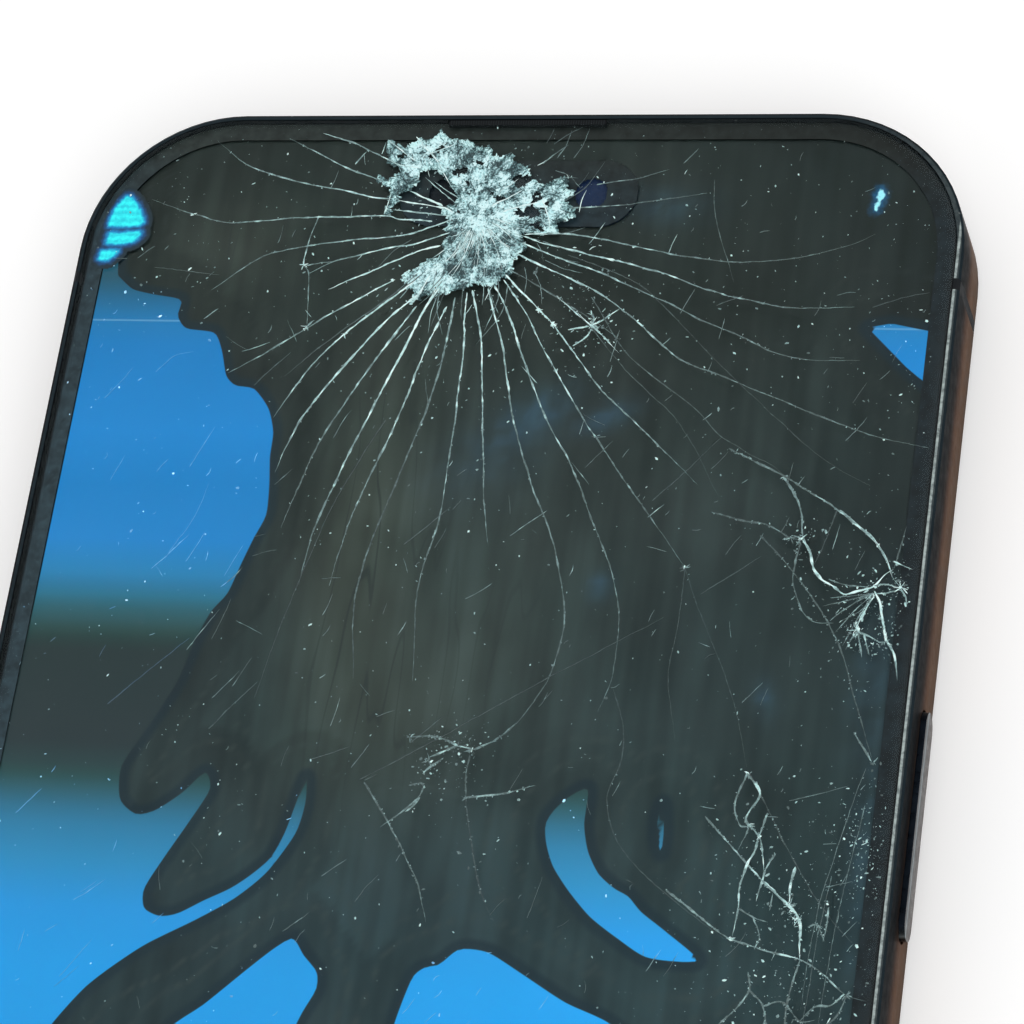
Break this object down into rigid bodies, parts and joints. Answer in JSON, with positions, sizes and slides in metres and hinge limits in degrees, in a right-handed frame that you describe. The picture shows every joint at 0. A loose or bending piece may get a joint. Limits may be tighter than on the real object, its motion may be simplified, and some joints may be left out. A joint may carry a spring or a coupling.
{
  "type": "shattered screen phone",
  "caption": "Slab phone lying screen up: bronze metal band, glass crushed near the top with radial cracks, dead dark display with patches still lit blue.",
  "frame": {"origin": "centre of the footprint, level with the lowest face of the rear lens rings", "axes": "+X to the right of the screen, +Y to the phone's top end, +Z out of the screen"},
  "size_m": [0.0776, 0.1598, 0.0103],
  "materials": {
    "band": "satin bronze-brown metal, darker towards the screen, worn and lightly scratched",
    "break": "dark moulded plastic",
    "plate": "bead-blasted plain metal",
    "front_glass": "clear glossy glass, crushed white at the impact, with white and blue-tinted cracks, scratches and dust",
    "chips": "crushed white glass",
    "adhesive": "clear or pale adhesive film",
    "panel": "dead display, dark green-grey, with patches that still glow blue",
    "support": "thin rolled metal",
    "flex": "amber flexible circuit",
    "gasket": "black foam adhesive",
    "rear_glass": "dark brown satin rear glass",
    "island": "glossy dark brown glass plateau",
    "ring": "polished bronze-brown metal ring",
    "lens": "coated dark lens glass",
    "camera": "black camera module",
    "flash": "pale yellow diffuser",
    "led": "yellow light source on its holder",
    "speaker": "black speaker box",
    "mesh": "fine dark mesh",
    "battery": "black foil pouch",
    "board": "green circuit board",
    "can": "stamped shield",
    "chip": "black chip",
    "steel": "plain steel",
    "coil": "copper winding",
    "ferrite": "dark ferrite sheet",
    "motor": "steel case",
    "mic": "gilt microphone can",
    "card": "card with gilt contacts",
    "button": "dark satin metal, polished by use",
    "switch": "gilt dome switches on a steel bracket",
    "case_screw": "brown plated steel"
  },
  "bodies": {
    "phone": {"side_band": "band", "antenna_break_right_top": "break", "antenna_break_right_bottom": "break", "antenna_break_left_top": "break", "antenna_break_left_bottom": "break", "mid_plate": "plate", "front_glass": "front_glass", "crushed_glass_chips": "chips", "optical_adhesive": "adhesive", "display_panel": "panel", "display_support_plate": "support", "display_flex": "flex", "front_gasket": "gasket", "rear_glass": "rear_glass", "rear_gasket": "gasket", "camera_island": "island", "lens_ring_low": "ring", "lens_ring_middle": "ring", "lens_ring_high": "ring", "lens_glass_low": "lens", "lens_glass_middle": "lens", "lens_glass_high": "lens", "rear_camera_low": "camera", "rear_camera_middle": "camera", "rear_camera_high": "camera", "flash_window": "flash", "flash_module": "led", "front_camera": "camera", "face_sensor": "camera", "earpiece_speaker": "speaker", "earpiece_mesh": "mesh", "battery": "battery", "battery_adhesive": "adhesive", "main_board": "board", "shield_can_left": "can", "shield_can_right": "can", "processor": "chip", "storage_chip": "chip", "modem_chip": "chip", "power_chip": "chip", "board_flex": "flex", "charging_board": "board", "port_shell": "steel", "port_tongue": "camera", "bottom_speaker": "speaker", "bottom_microphone": "mic", "haptic_motor": "motor", "wireless_coil": "coil", "ferrite_sheet": "ferrite", "card_reader": "can", "right_switch": "switch", "left_switches": "switch", "board_screws": "steel", "case_screws": "case_screw"},
    "power_button": {"power_button": "button"},
    "volume_up_button": {"volume_up_button": "button"},
    "volume_down_button": {"volume_down_button": "button"},
    "action_button": {"action_button": "button"},
    "card_tray": {"card_tray": "band", "card": "card"}
  },
  "joints": [
    {"name": "power_button_press", "type": "slide", "parent": "phone", "child": "power_button", "axis": [-1, 0, 0], "range_m": [0, 0.0003], "stiffness_N_per_m": 4000},
    {"name": "volume_up_button_press", "type": "slide", "parent": "phone", "child": "volume_up_button", "axis": [1, 0, 0], "range_m": [0, 0.0003], "stiffness_N_per_m": 4000},
    {"name": "volume_down_button_press", "type": "slide", "parent": "phone", "child": "volume_down_button", "axis": [1, 0, 0], "range_m": [0, 0.0003], "stiffness_N_per_m": 4000},
    {"name": "action_button_press", "type": "slide", "parent": "phone", "child": "action_button", "axis": [1, 0, 0], "range_m": [0, 0.0003], "stiffness_N_per_m": 4000},
    {"name": "card_tray_slide", "type": "slide", "parent": "phone", "child": "card_tray", "axis": [-1, 0, 0], "range_m": [0, 0.0155]}
  ]
}
